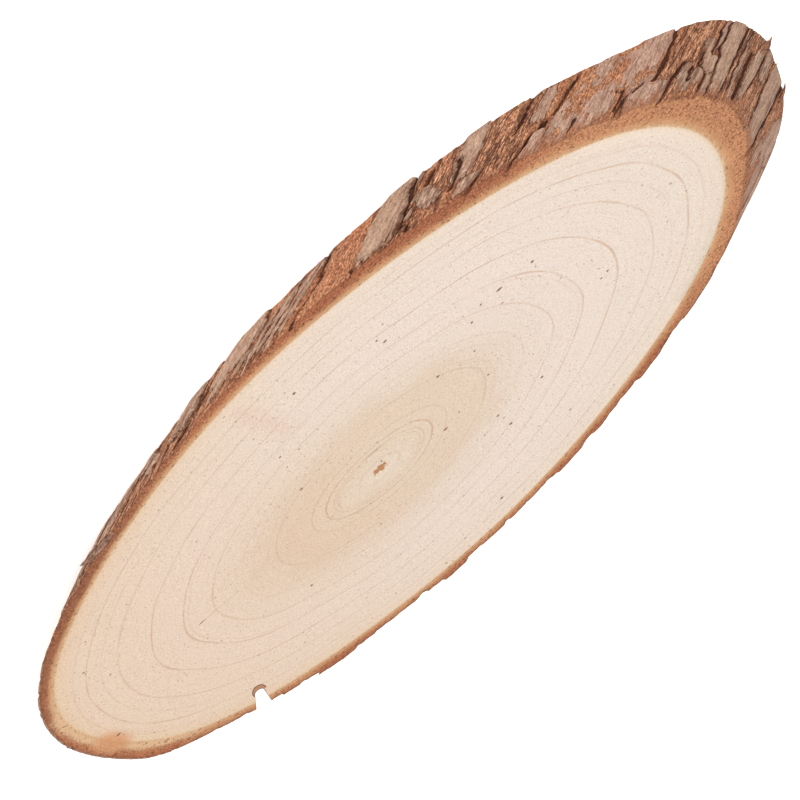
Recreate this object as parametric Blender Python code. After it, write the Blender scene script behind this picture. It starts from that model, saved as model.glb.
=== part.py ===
# A slice of a round stem with its bark on, sawn twice on the same slant, so both faces are long ovals.
# It lies flat: +Z is up, +X runs along the oval, and the origin is under the middle of the whole slice.
# Sizes are in millimetres and angles in degrees until a mesh is made, and Blender gets metres.

import math

import bmesh
import bpy
import numpy as np

MM = 0.001

# The stem, square to its grain, measured from the pith
STEM_RADIUS = 59.0
PITH_OFFSET_X = 4.0
PITH_OFFSET_Y = 3.9
STEM_WAVES = ((3, -0.4, 0.0), (5, -0.1, -0.2), (6, -0.3, -0.2))  # how many round the stem, cosine, sine

# The two saw cuts
CUT_ANGLE = 27.2  # between a sawn face and the stem's axis
THICKNESS = 12.5
STRETCH = 1 / math.sin(math.radians(CUT_ANGLE))  # how much longer a slanted cut is than a square one
SLANT = 1 / math.tan(math.radians(CUT_ANGLE))  # how far the stem moves along X for each mm up
WALL_LENGTH = THICKNESS * STRETCH  # down the slanted side, along the grain

# The bark: its thickness under the plates, every 15 degrees round the stem, at the two sawn faces
GROUND_AT_TOP = (
    2.7, 3.1, 3.7, 2.1, 2.6, 2.6, 2.5, 2.5, 3.0, 3.4, 4.3, 3.6,
    4.5, 5.6, 4.8, 4.1, 5.1, 5.3, 4.1, 3.5, 3.3, 3.3, 2.5, 2.3,
)
GROUND_AT_BOTTOM = (
    2.8, 3.0, 3.1, 2.2, 2.6, 2.6, 2.6, 2.7, 3.0, 3.4, 4.5, 4.4,
    3.6, 4.8, 5.8, 4.7, 5.8, 4.9, 3.7, 3.6, 3.5, 4.9, 3.1, 2.5,
)
SEAM = 0.3  # between the wood and the bark
DEGREE = math.radians(1) * (STEM_RADIUS + 4.0)  # one degree round the bark, in mm
DEEPEST = -1.6  # no crack goes deeper than this under the ground
SOFTNESS = 0.7  # how far a plate's edge slopes
END_FLATNESS = 0.7  # how much less the skin rises and falls at the two ends of the oval
EDGE_WEAR = 0.6  # and how much less again where a face and the side meet at a sharp edge
SHARP_FROM = 0.4
CORNERS = 4  # a plate's outline is a superellipse of this power
# Two layers of noise: size, cells round the stem, length of a cell along the grain, seed
SWAY = (0.45, 90, 4.0, 3)  # makes the edges of plates and cracks wander
GRAIN = (0.22, 160, 9.0, 5)  # raises the skin a little everywhere
NOISE_ROWS = 64  # cells along the grain before the noise repeats

# Plates of the outer bark: place round the stem, place down the side from 0 at the upper face to 1 at the
# lower, width, length along the grain, lean, and rise
PLATES = (
    (66.5, 0.15, 7.5, 24.0, 0, 1.7),
    (88.0, 0.10, 4.6, 20.0, 2, 1.6),
    (110.5, 0.20, 5.5, 24.0, -2, 1.5),
    (117.0, 0.35, 3.6, 26.0, 0, 1.1),
    (128.5, 0.20, 5.0, 22.0, 2, 1.5),
    (140.5, 0.25, 8.0, 30.0, -2, 1.4),
    (165.5, 0.62, 5.5, 15.0, -10, 0.7),
    (169.5, 0.25, 3.5, 9.0, -8, 0.5),
    (178.3, 0.50, 8.2, 34.0, -3, 0.8),
    (185.3, 0.80, 4.0, 12.0, 0, 0.5),
    (190.0, 0.62, 3.8, 26.0, -2, 0.8),
    (195.0, 0.45, 1.5, 30.0, 2, 0.4),
    (199.7, 0.56, 5.3, 29.0, 4, 0.9),
    (202.0, 0.12, 1.7, 9.0, 4, 0.8),
    (203.3, 0.82, 1.2, 12.0, 0, 0.7),
    (205.1, 0.28, 3.0, 7.0, -8, 0.8),
    (207.2, 0.15, 4.0, 3.2, 0, 0.8),
    (208.4, 0.29, 2.2, 9.5, 8, 0.8),
    (203.6, 0.42, 3.6, 6.5, 8, 0.7),
    (205.1, 0.57, 2.0, 4.0, 0, 0.7),
    (206.0, 0.69, 2.4, 4.0, 12, 0.7),
    (214.3, 0.14, 7.6, 9.5, 2, 0.8),
    (216.8, 0.19, 3.8, 9.0, 4, 1.0),
    (218.3, 0.74, 7.4, 16.0, 2, 0.9),
    (223.4, 0.25, 5.8, 14.5, 4, 1.0),
    (226.0, 0.85, 4.5, 9.0, 0, 0.4),
    (228.2, 0.17, 3.6, 8.0, 6, 0.7),
    (230.3, 0.33, 2.6, 12.0, 0, 0.5),
    (233.3, 0.17, 3.4, 10.0, 4, 0.8),
    (235.0, 0.75, 2.6, 13.0, 2, 0.6),
    (243.3, 0.15, 3.6, 6.0, -6, 0.6),
    (245.7, 0.70, 4.0, 22.0, 3, 0.9),
    (250.2, 0.41, 3.0, 11.0, 22, 0.9),
    (251.9, 0.31, 1.5, 4.5, 10, 0.8),
    (254.2, 0.55, 1.8, 27.0, 2, 1.0),
    (257.0, 0.57, 5.2, 28.0, 2, 1.2),
    (268.2, 0.55, 1.3, 26.0, -6, 0.8),
    (270.0, 0.50, 1.3, 25.0, -6, 0.8),
    (271.9, 0.52, 1.4, 25.0, -6, 0.9),
    (273.8, 0.50, 1.3, 22.0, -6, 0.8),
    (276.4, 0.28, 1.4, 9.0, -5, 0.8),
    (279.4, 0.72, 7.6, 17.0, -2, 0.9),
    (280.4, 0.30, 2.6, 9.0, -4, 0.8),
    (288.5, 0.68, 5.6, 17.0, 2, 0.9),
    (294.0, 0.42, 2.6, 8.0, 10, 0.7),
    (297.5, 0.74, 3.0, 9.0, 6, 0.9),
    (304.0, 0.50, 4.4, 22.0, -6, 0.8),
    (310.5, 0.55, 4.0, 22.0, -4, 0.8),
    (316.5, 0.55, 3.6, 20.0, -2, 0.7),
)

# Cracks between and in the plates: width, depth, then the places each runs through, as round and down above
CRACKS = (
    (1.6, 0.9, (82.0, -0.1), (82.3, 0.5)),
    (1.4, 1.3, (174.8, -0.1), (174.5, 0.3), (173.6, 0.5), (173.2, 1.0)),
    (0.5, 0.7, (181.8, 0.06), (182.0, 0.5), (182.3, 1.0)),
    (0.7, 0.8, (188.6, 0.3), (187.8, 0.5), (187.3, 1.0)),
    (1.2, 1.5, (192.2, 0.08), (192.3, 0.3), (193.0, 0.55), (192.8, 0.75)),
    (0.5, 0.7, (195.0, -0.1), (195.2, 0.3), (195.8, 0.6), (195.2, 1.0)),
    (0.7, 0.8, (197.6, -0.05), (196.5, 0.25), (197.2, 0.5), (197.1, 1.0)),
    (0.5, 0.8, (200.5, 0.03), (201.2, 0.3), (201.8, 0.5), (202.5, 0.6), (202.6, 1.0)),
    (0.5, 0.8, (203.0, -0.02), (203.2, 0.3), (205.8, 0.41), (206.2, 0.6)),
    (0.5, 0.7, (203.6, 0.54), (204.0, 0.7), (204.4, 1.0)),
    (0.6, 0.8, (206.7, 0.21), (207.0, 0.4)),
    (0.8, 1.7, (210.3, -0.1), (210.8, 0.0), (210.4, 0.15), (210.0, 0.35), (209.8, 0.5)),
    (0.8, 1.7, (214.4, 0.34), (214.2, 0.5), (213.8, 0.65), (214.3, 0.85), (214.8, 1.0)),
    (0.7, 1.1, (217.6, -0.05), (218.6, 0.1), (218.5, 0.22)),
    (0.6, 1.2, (219.2, -0.1), (219.3, 0.2), (219.7, 0.36), (220.9, 0.42)),
    (0.5, 0.8, (217.8, 0.25), (216.6, 0.36)),
    (0.6, 0.9, (221.5, -0.1), (222.3, -0.02)),
    (0.5, 0.7, (226.8, 0.08), (227.2, 0.24)),
    (0.7, 1.4, (235.9, -0.05), (235.7, 0.1), (235.0, 0.2), (234.8, 0.36)),
    (0.9, 2.0, (232.9, 0.36), (233.6, 0.46)),
    (0.6, 1.0, (232.4, 0.5), (231.5, 0.7), (230.8, 0.95)),
    (0.6, 0.8, (238.2, 0.5), (237.8, 0.75), (238.1, 1.0)),
    (0.6, 0.8, (242.2, -0.1), (241.5, 0.1), (241.0, 0.22)),
    (0.5, 1.3, (245.8, 0.24), (246.0, 0.38), (246.5, 0.58), (247.0, 0.7)),
    (0.7, 1.5, (250.5, 0.04), (251.6, 0.15), (252.6, 0.22), (253.0, 0.36), (253.8, 0.65), (254.9, 1.0)),
    (0.8, 1.3, (251.6, 0.68), (252.0, 0.88)),
    (0.5, 0.8, (258.0, -0.08), (258.6, 0.05), (259.3, 0.12)),
    (0.5, 0.8, (267.2, -0.1), (267.0, 0.1), (266.4, 0.3), (266.0, 0.5), (266.6, 0.75), (267.5, 1.0)),
    (1.0, 1.7, (286.3, 0.06), (285.6, 0.2), (285.2, 0.32), (284.8, 0.5), (284.2, 0.7), (283.7, 1.0)),
    (0.9, 1.2, (290.0, 0.26), (290.8, 0.48), (291.6, 0.53)),
    (0.8, 1.2, (300.2, 0.1), (300.8, 0.5), (300.4, 1.0)),
    (0.7, 1.1, (307.3, 0.1), (307.6, 0.5), (307.2, 1.0)),
)

# The rest of the stem grows its plates at random, between these places and within these sizes
GROWN_FROM = 321.0
GROWN_TO = 521.0
GROWN_SEED = 11
GROWN_WIDTHS = (2.4, 6.0)
GROWN_LENGTHS = (8.0, 22.0)
GROWN_RISES = (0.3, 0.8)
GROWN_LEAN = 6.0
GROWN_START = (-0.3, 0.0)  # place down the side of a column's first plate
GROWN_BREAKS = (0.02, 0.1)  # between plates of a column, as a share of the way down
GROWN_GAPS = (0.5, 1.4)  # between columns

# The notch bitten out of the edge
NOTCH_X = 74.6  # from the pith's upper end
NOTCH_Y = 39.2
NOTCH_HALF_WIDTH = 1.9
NOTCH_REACH = 1.9
NOTCH_FLARE = (0.6, 0.2)  # how far its two sides lean towards +X for each mm outwards
NOTCH_SIDES = 12
NOTCH_RUN = 12.0  # how far the cutter goes on past the bark

# Mesh fineness
BARK_COLUMNS = 420
BARK_ROWS = (1.0, 0.86, 0.71, 0.57, 0.43, 0.29, 0.14, 0.0)  # places down the side, from the lower face up
WOOD_COLUMNS = 240
SHARP_ANGLE = math.radians(40)  # edges sharper than this aren't shaded round

# Finishes: colour, roughness
WOOD_FINISH = ("sawn_wood", (0.84, 0.70, 0.58), 0.62)
BARK_FINISH = ("outer_bark", (0.39, 0.20, 0.12), 0.85)


def stem_radius(theta):
    """The wood's radius from the pith, square to the grain."""
    radius = STEM_RADIUS - PITH_OFFSET_X * np.cos(theta) - PITH_OFFSET_Y * np.sin(theta)
    for count, cosine, sine in STEM_WAVES:
        radius = radius + cosine * np.cos(count * theta) + sine * np.sin(count * theta)
    return radius


def closed_curve(theta, values):
    """A smooth closed curve through values spaced evenly round the stem."""
    step = 360 / len(values)
    place = np.degrees(theta) % 360 / step
    index = np.floor(place).astype(int)
    t = place - index
    a, b, c, d = (np.take(np.array(values), (index + k) % len(values)) for k in (-1, 0, 1, 2))
    rising = (c - a) * t + (2 * a - 5 * b + 4 * c - d) * t**2 + (3 * b - a - 3 * c + d) * t**3
    return b + 0.5 * rising


def smooth_noise(theta, along, layer):
    """One layer of smooth noise. A turn round the stem has a whole number of cells, so it closes."""
    size, cells, length, seed = layer
    table = np.random.default_rng(seed).uniform(-size, size, (cells, NOISE_ROWS))
    x, y = theta / (2 * math.pi) * cells, along / length
    column, row = np.floor(x).astype(int), np.floor(y).astype(int)
    right, down = smooth_step(x - column, 0.0, 1.0), smooth_step(y - row, 0.0, 1.0)
    corners = [table[(column + i) % cells, (row + j) % NOISE_ROWS] for j in (0, 1) for i in (0, 1)]
    near = corners[0] * (1 - right) + corners[1] * right
    far = corners[2] * (1 - right) + corners[3] * right
    return near * (1 - down) + far * down


def smooth_step(value, low, high):
    t = np.clip((value - low) / (high - low), 0.0, 1.0)
    return t * t * (3 - 2 * t)


def grown_plates():
    """Plates drawn at random, in columns along the grain, for the side that PLATES leaves bare."""
    draw = np.random.default_rng(GROWN_SEED)
    plates = []
    place = GROWN_FROM
    while place < GROWN_TO:
        width = draw.uniform(*GROWN_WIDTHS)
        down = draw.uniform(*GROWN_START)
        while down < 1.0:
            length = draw.uniform(*GROWN_LENGTHS)
            middle = down + 0.5 * length / WALL_LENGTH
            lean = draw.uniform(-GROWN_LEAN, GROWN_LEAN)
            plates.append((place + 0.5 * width / DEGREE, middle, width, length, lean, draw.uniform(*GROWN_RISES)))
            down += length / WALL_LENGTH + draw.uniform(*GROWN_BREAKS)
        place += (width + draw.uniform(*GROWN_GAPS)) / DEGREE
    return plates


def degrees_from(theta, middle):
    return (np.degrees(theta) - middle + 180) % 360 - 180


def plate_height(theta, down, sway, plate):
    """One plate: a rounded oblong with sloping edges, rise high inside and 0 outside."""
    middle, depth, width, length, lean, rise = plate
    across = degrees_from(theta, middle) * DEGREE + sway
    away = (down - depth) * WALL_LENGTH
    slope = math.radians(lean)
    side = across * math.cos(slope) - away * math.sin(slope)
    end = across * math.sin(slope) + away * math.cos(slope)
    reach = ((2 * abs(side) / width) ** CORNERS + (2 * abs(end) / length) ** CORNERS) ** (1 / CORNERS)
    inside = (1 - reach) * 0.5 * width
    return rise * smooth_step(inside, -0.5 * SOFTNESS, SOFTNESS)


def crack_depth(theta, down, sway, crack):
    """One crack: a groove along a broken line."""
    width, deep, *places = crack
    nearest = np.full(theta.shape, STEM_RADIUS)
    for (from_degrees, from_down), (to_degrees, to_down) in zip(places, places[1:]):
        across = degrees_from(theta, from_degrees) * DEGREE + sway
        away = (down - from_down) * WALL_LENGTH
        run_across = (to_degrees - from_degrees) * DEGREE
        run_away = (to_down - from_down) * WALL_LENGTH
        t = np.clip((across * run_across + away * run_away) / (run_across**2 + run_away**2), 0, 1)
        nearest = np.minimum(nearest, np.hypot(across - t * run_across, away - t * run_away))
    return deep * (1 - smooth_step(nearest, 0.2 * width, 0.5 * width + SOFTNESS))


def bark_relief(theta, down):
    """Height of the bark's skin over its ground: plates up, cracks down, and a fine grain."""
    along = STEM_RADIUS * np.cos(theta) * SLANT + down * WALL_LENGTH
    sway = smooth_noise(theta, along, SWAY)
    height = np.zeros(theta.shape)
    for plate in PLATES + tuple(grown_plates()):
        height = np.maximum(height, plate_height(theta, down, sway, plate))
    for crack in CRACKS:
        height = height - crack_depth(theta, down, sway, crack)
    flatter = 1 - END_FLATNESS * np.cos(theta) ** 2
    worn = 1 - EDGE_WEAR * smooth_step(np.cos(theta) * (1 - 2 * down), SHARP_FROM, 1.0)
    height = (height + smooth_noise(theta, along, GRAIN)) * flatter * worn
    return np.maximum(height, DEEPEST)


def on_slice(theta, radius, down):
    """Points of the slice, in mm, from a radius square to the grain. The pith's upper end is above X = 0."""
    x = radius * np.cos(theta) * STRETCH - down * THICKNESS * SLANT
    y = radius * np.sin(theta)
    z = np.full(theta.shape, (1 - down) * THICKNESS)
    return np.stack([x, y, z], axis=1)


def ring(bm, points):
    return [bm.verts.new(point * MM) for point in points]


def band(bm, lower, upper):
    """Quads between two loops of the same count, facing out when both run anticlockwise from above."""
    for k in range(len(lower)):
        after = (k + 1) % len(lower)
        bm.faces.new((lower[k], lower[after], upper[after], upper[k]))


def columns(count):
    return np.arange(count) * (2 * math.pi / count)


def bark_outer_points(theta, down):
    ground = closed_curve(theta, GROUND_AT_TOP) * (1 - down) + closed_curve(theta, GROUND_AT_BOTTOM) * down
    radius = stem_radius(theta) + SEAM + ground + bark_relief(theta, np.full(theta.shape, down))
    return on_slice(theta, radius, down)


def wood_mesh(centre):
    """The sawn disc: two flat ovals and a smooth slanted side."""
    theta = columns(WOOD_COLUMNS)
    bm = bmesh.new()
    lower = ring(bm, on_slice(theta, stem_radius(theta), 1.0) - centre)
    upper = ring(bm, on_slice(theta, stem_radius(theta), 0.0) - centre)
    band(bm, lower, upper)
    bm.faces.new(upper)
    bm.faces.new(list(reversed(lower)))
    return bm


def bark_mesh(centre):
    """The ring of bark: its rough outer side, the two sawn bands and the smooth side next to the wood."""
    theta = columns(BARK_COLUMNS)
    bm = bmesh.new()
    outer = [ring(bm, bark_outer_points(theta, down) - centre) for down in BARK_ROWS]
    inner = [ring(bm, on_slice(theta, stem_radius(theta) + SEAM, down) - centre) for down in (1.0, 0.0)]
    for lower, upper in zip(outer, outer[1:]):
        band(bm, lower, upper)
    band(bm, outer[-1], inner[1])
    band(bm, inner[1], inner[0])
    band(bm, inner[0], outer[0])
    return bm


def notch_mesh(centre):
    """The cutter of the notch: a half oval end, with two sides that lean apart out past the bark."""
    bm = bmesh.new()
    turns = [math.pi + math.pi * k / NOTCH_SIDES for k in range(NOTCH_SIDES + 1)]
    rim = [(NOTCH_X + NOTCH_HALF_WIDTH * math.cos(a), NOTCH_Y + NOTCH_REACH * math.sin(a)) for a in turns]
    rim.append((NOTCH_X + NOTCH_HALF_WIDTH + NOTCH_FLARE[0] * NOTCH_RUN, NOTCH_Y + NOTCH_RUN))
    rim.append((NOTCH_X - NOTCH_HALF_WIDTH + NOTCH_FLARE[1] * NOTCH_RUN, NOTCH_Y + NOTCH_RUN))
    lower = ring(bm, [np.array((x, y, -THICKNESS)) - centre for x, y in rim])
    upper = ring(bm, [np.array((x, y, 2 * THICKNESS)) - centre for x, y in rim])
    band(bm, lower, upper)
    bm.faces.new(upper)
    bm.faces.new(list(reversed(lower)))
    return bm


def slice_centre():
    """The middle of the whole slice seen from above, in the pith's coordinates."""
    points = np.concatenate([bark_outer_points(columns(BARK_COLUMNS), down) for down in BARK_ROWS])
    middle = 0.5 * (points.min(axis=0) + points.max(axis=0))
    return np.array((middle[0], middle[1], 0.0))


def add_object(name, bm):
    mesh = bpy.data.meshes.new(name)
    bm.to_mesh(mesh)
    bm.free()
    added = bpy.data.objects.new(name, mesh)
    bpy.context.collection.objects.link(added)
    return added


def add_finish(target, finish):
    name, colour, roughness = finish
    material = bpy.data.materials.new(name)
    material.use_nodes = True
    shader = material.node_tree.nodes["Principled BSDF"]
    shader.inputs["Base Color"].default_value = (*colour, 1.0)
    shader.inputs["Roughness"].default_value = roughness
    shader.inputs["Metallic"].default_value = 0.0
    target.data.materials.append(material)
    target.data.shade_smooth()
    target.data.set_sharp_from_angle(angle=SHARP_ANGLE)


def cut_notch(target, cutter):
    cut = target.modifiers.new("notch", "BOOLEAN")
    cut.operation = "DIFFERENCE"
    cut.solver = "EXACT"
    cut.object = cutter


def main():
    for old in list(bpy.data.objects):
        bpy.data.objects.remove(old)
    centre = slice_centre()
    cutter = add_object("notch_cutter", notch_mesh(centre))
    cutter.display_type = "WIRE"
    cutter.hide_render = True
    wood = add_object("wood", wood_mesh(centre))
    bark = add_object("bark", bark_mesh(centre))
    add_finish(wood, WOOD_FINISH)
    add_finish(bark, BARK_FINISH)
    cut_notch(wood, cutter)
    cut_notch(bark, cutter)


main()
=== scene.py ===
# A slice of a round stem with its bark on, sawn twice on one slant, lying on its lower face.
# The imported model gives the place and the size. A finer disc and a finer ring of bark stand for its two
# nodes, with the same outline and the same plates and cracks, and five loose flakes stand out from the
# bark. Sizes are in mm until a mesh is made.

import math

import bmesh
import bpy
import numpy as np
from mathutils import Euler, Matrix, Vector


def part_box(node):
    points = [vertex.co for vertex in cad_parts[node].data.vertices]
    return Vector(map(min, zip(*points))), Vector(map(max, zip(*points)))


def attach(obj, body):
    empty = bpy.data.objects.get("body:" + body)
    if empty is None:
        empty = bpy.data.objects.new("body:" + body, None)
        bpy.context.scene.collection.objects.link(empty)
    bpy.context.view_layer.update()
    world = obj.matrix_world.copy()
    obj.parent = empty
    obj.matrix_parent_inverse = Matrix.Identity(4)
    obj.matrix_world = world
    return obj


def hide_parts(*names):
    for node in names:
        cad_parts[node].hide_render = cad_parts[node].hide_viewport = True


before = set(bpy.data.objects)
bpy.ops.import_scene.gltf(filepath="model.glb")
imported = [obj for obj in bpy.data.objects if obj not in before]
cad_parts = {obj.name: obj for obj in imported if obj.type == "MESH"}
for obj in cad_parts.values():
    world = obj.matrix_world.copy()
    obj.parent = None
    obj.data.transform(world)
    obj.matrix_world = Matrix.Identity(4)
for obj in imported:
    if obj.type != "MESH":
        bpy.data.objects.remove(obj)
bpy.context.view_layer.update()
mm = 0.001
woodLow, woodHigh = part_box("wood")

# The stem, square to its grain and measured from the pith, and the slant of the two cuts
stem = {
    "radius": 59.0,
    "pithOffset": (4.0, 3.9),
    "waves": ((3, -0.4, 0.0), (5, -0.1, -0.2), (6, -0.3, -0.2)),  # how many round, cosine, sine
    "cutAngle": math.radians(27.2),
    "thickness": (woodHigh.z - woodLow.z) / mm,
}
stretch = 1 / math.sin(stem["cutAngle"])
slant = 1 / math.tan(stem["cutAngle"])
wallLength = stem["thickness"] * stretch
degree = math.radians(1) * (stem["radius"] + 4.0)  # one degree round the bark

# The bark: thickness under the plates every 15 degrees at the two faces, then its plates and cracks
bark = {
    "groundTop": (
        2.7, 3.1, 3.7, 2.1, 2.6, 2.6, 2.5, 2.5, 3.0, 3.4, 4.3, 3.6,
        4.5, 5.6, 4.8, 4.1, 5.1, 5.3, 4.1, 3.5, 3.3, 3.3, 2.5, 2.3,
    ),
    "groundBottom": (
        2.8, 3.0, 3.1, 2.2, 2.6, 2.6, 2.6, 2.7, 3.0, 3.4, 4.5, 4.4,
        3.6, 4.8, 5.8, 4.7, 5.8, 4.9, 3.7, 3.6, 3.5, 4.9, 3.1, 2.5,
    ),
    "seam": 0.3,
    "deepest": -1.6,
    "farthest": 2.0,  # how far from the edge of a plate or a crack is still told apart, in mm
    "plateMargin": 2.0,  # plates are looked for this many mm beyond their edge
    "crackReach": 7,  # and cracks this many degrees from their middle
    "softness": 0.3,  # slope of a plate's edge
    "endFlatness": 0.7,  # how much less the skin rises and falls at the two ends of the oval
    "endSmoothness": 0.5,  # the same for its fine grain, which is less still there
    "edgeWear": 0.6,  # and less again where a face and the side meet at a sharp edge
    "sharpFrom": 0.4,
    "corners": 4,
    "columns": 1620,
    "rows": 46,
    # noise layers: size, cells round the stem, length of a cell along the grain, seed
    "sway": ((0.45, 90, 4.0, 3), (0.28, 260, 1.8, 13), (0.14, 520, 0.9, 14)),
    "grain": ((0.22, 160, 9.0, 5), (0.12, 320, 5.0, 6), (0.07, 700, 3.0, 7)),
    "scales": ((0.25, 130, 2.4, 8), (0.14, 300, 1.2, 9)),
    "fibres": ((0.24, 400, 7.0, 10), (0.12, 720, 3.0, 12)),
    # fine grooves along the grain: noise layer, and how near to its zero a groove runs
    "grooves": (((1.0, 330, 9.0, 15), 0.34), ((1.0, 170, 18.0, 16), 0.2)),
    "grooveDepth": 0.4,
    "grooveSway": 0.6,  # how much of the plates' sway the grooves follow
    "grooveFades": (1.0, 70, 6.0, 17),
    # stringy stretches: from and to in degrees, how much
    "fibrous": (
        (170, 176, 0.5), (182, 187, 0.6), (191, 198, 1.0), (206, 213, 0.9), (236, 243, 0.7),
        (247, 254, 0.6), (284, 330, 0.7),
    ),
    "scaly": (211, 215, 228, 233),  # where the small scales start, are full, start to end and end
}
# round in degrees, down the side from 0 to 1, width, length, lean, rise, tint from pink -1 to tan 1
plates = (
    (66.5, 0.15, 7.5, 24.0, 0, 1.7, 0.2),
    (88.0, 0.10, 4.6, 20.0, 2, 1.6, 0.1),
    (110.5, 0.20, 5.5, 24.0, -2, 1.5, 0.3),
    (117.0, 0.35, 3.6, 26.0, 0, 1.1, 0.0),
    (128.5, 0.20, 5.0, 22.0, 2, 1.5, -0.2),
    (140.5, 0.25, 8.0, 30.0, -2, 1.4, 0.4),
    (165.5, 0.62, 5.5, 15.0, -10, 0.7, 0.1),
    (169.5, 0.25, 3.5, 9.0, -8, 0.5, -0.2),
    (178.3, 0.50, 8.2, 34.0, -3, 0.8, 0.6),
    (185.3, 0.80, 4.0, 12.0, 0, 0.5, 0.2),
    (190.0, 0.62, 3.8, 26.0, -2, 0.8, 0.7),
    (195.0, 0.45, 1.5, 30.0, 2, 0.4, 0.0),
    (199.7, 0.56, 5.3, 29.0, 4, 0.9, 0.9),
    (202.0, 0.12, 1.7, 9.0, 4, 0.8, 0.4),
    (203.3, 0.82, 1.2, 12.0, 0, 0.7, 0.0),
    (205.1, 0.28, 3.0, 7.0, -8, 0.8, 0.5),
    (207.2, 0.15, 4.0, 3.2, 0, 0.8, 0.5),
    (208.4, 0.29, 2.2, 9.5, 8, 0.8, 0.4),
    (203.6, 0.42, 3.6, 6.5, 8, 0.7, 0.5),
    (205.1, 0.57, 2.0, 4.0, 0, 0.7, 0.2),
    (206.0, 0.69, 2.4, 4.0, 12, 0.7, 0.0),
    (214.3, 0.14, 7.6, 9.5, 2, 0.8, -0.3),
    (216.8, 0.19, 3.8, 9.0, 4, 1.0, -0.5),
    (218.3, 0.74, 7.4, 16.0, 2, 0.9, -0.6),
    (223.4, 0.25, 5.8, 14.5, 4, 1.0, -0.6),
    (226.0, 0.85, 4.5, 9.0, 0, 0.4, -0.4),
    (228.2, 0.17, 3.6, 8.0, 6, 0.7, -0.3),
    (230.3, 0.33, 2.6, 12.0, 0, 0.5, -0.2),
    (233.3, 0.17, 3.4, 10.0, 4, 0.8, -0.1),
    (235.0, 0.75, 2.6, 13.0, 2, 0.6, 0.1),
    (243.3, 0.15, 3.6, 6.0, -6, 0.6, 0.0),
    (245.7, 0.70, 4.0, 22.0, 3, 0.9, 0.6),
    (250.2, 0.41, 3.0, 11.0, 22, 0.9, 0.0),
    (251.9, 0.31, 1.5, 4.5, 10, 0.8, 0.0),
    (254.2, 0.55, 1.8, 27.0, 2, 1.0, 0.3),
    (257.0, 0.57, 5.2, 28.0, 2, 1.2, 0.7),
    (268.2, 0.55, 1.3, 26.0, -6, 0.8, 0.3),
    (270.0, 0.50, 1.3, 25.0, -6, 0.8, 0.2),
    (271.9, 0.52, 1.4, 25.0, -6, 0.9, 0.3),
    (273.8, 0.50, 1.3, 22.0, -6, 0.8, 0.2),
    (276.4, 0.28, 1.4, 9.0, -5, 0.8, 0.2),
    (279.4, 0.72, 7.6, 17.0, -2, 0.9, 0.8),
    (280.4, 0.30, 2.6, 9.0, -4, 0.8, 0.4),
    (288.5, 0.68, 5.6, 17.0, 2, 0.9, 0.7),
    (294.0, 0.42, 2.6, 8.0, 10, 0.7, 0.3),
    (297.5, 0.74, 3.0, 9.0, 6, 0.9, 0.2),
    (304.0, 0.50, 4.4, 22.0, -6, 0.8, 0.2),
    (310.5, 0.55, 4.0, 22.0, -4, 0.8, 0.1),
    (316.5, 0.55, 3.6, 20.0, -2, 0.7, 0.0),
)
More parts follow.
